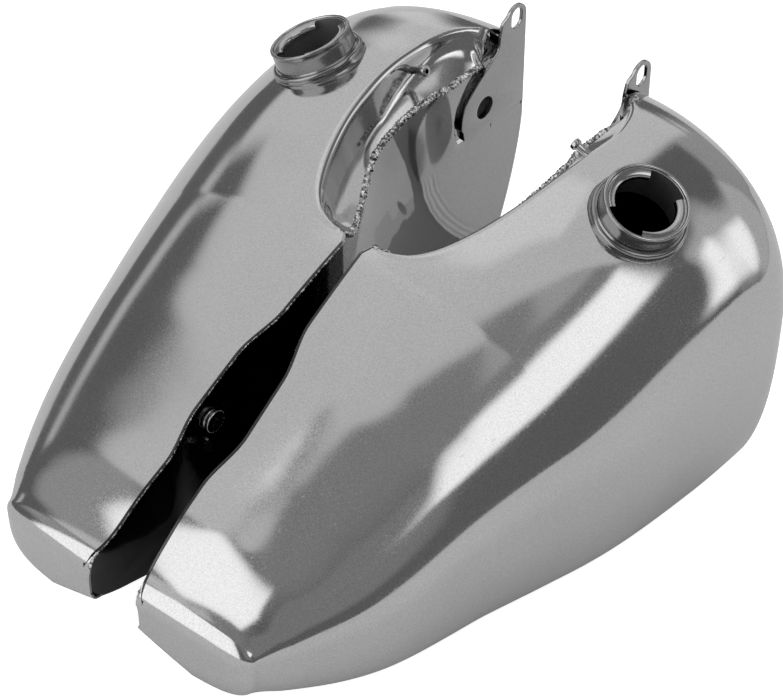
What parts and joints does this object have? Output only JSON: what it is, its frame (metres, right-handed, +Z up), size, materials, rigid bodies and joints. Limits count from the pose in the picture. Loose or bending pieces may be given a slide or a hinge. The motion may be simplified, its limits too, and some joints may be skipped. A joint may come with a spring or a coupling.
{
  "type": "split motorcycle fuel tank pair",
  "caption": "Bare steel split fuel tank, a left and a right half that bolt up either side of a frame's backbone, with a filler neck on each half and a shared recess for a dash.",
  "frame": {"origin": "On the floor under the middle of the pair's bounding box.", "axes": "+X to the rider's right, +Y towards the front of the motorcycle (the wide end with the brackets), +Z up."},
  "size_m": [0.4668, 0.53, 0.29],
  "materials": {
    "skin_steel": "satin, bare pressed steel with fine grain",
    "wall_steel": "satin, bare sheet steel",
    "machined_steel": "turned, satin",
    "weld_metal": "rough weld bead"
  },
  "bodies": {
    "left_tank": {"left_outer_shell": "skin_steel", "left_inner_wall": "wall_steel", "left_floor_pan": "wall_steel", "left_filler_flange": "machined_steel", "left_filler_collar": "machined_steel", "left_bayonet_ring": "machined_steel", "left_vent_nipple": "machined_steel", "left_front_bracket": "wall_steel", "left_seam_weld": "weld_metal", "left_rear_bung": "machined_steel", "left_rear_tab": "wall_steel", "left_crossover_spigot": "machined_steel", "left_petcock_spigot": "machined_steel"},
    "right_tank": {"right_outer_shell": "skin_steel", "right_inner_wall": "wall_steel", "right_floor_pan": "wall_steel", "right_filler_flange": "machined_steel", "right_filler_collar": "machined_steel", "right_bayonet_ring": "machined_steel", "right_vent_nipple": "machined_steel", "right_front_bracket": "wall_steel", "right_seam_weld": "weld_metal", "right_rear_bung": "machined_steel", "right_rear_tab": "wall_steel", "right_crossover_spigot": "machined_steel"}
  },
  "joints": [
    {"name": "right_tank_slide", "type": "slide", "parent": "left_tank", "child": "right_tank", "axis": [1, 0, 0], "range_m": [0, 0.12]}
  ]
}
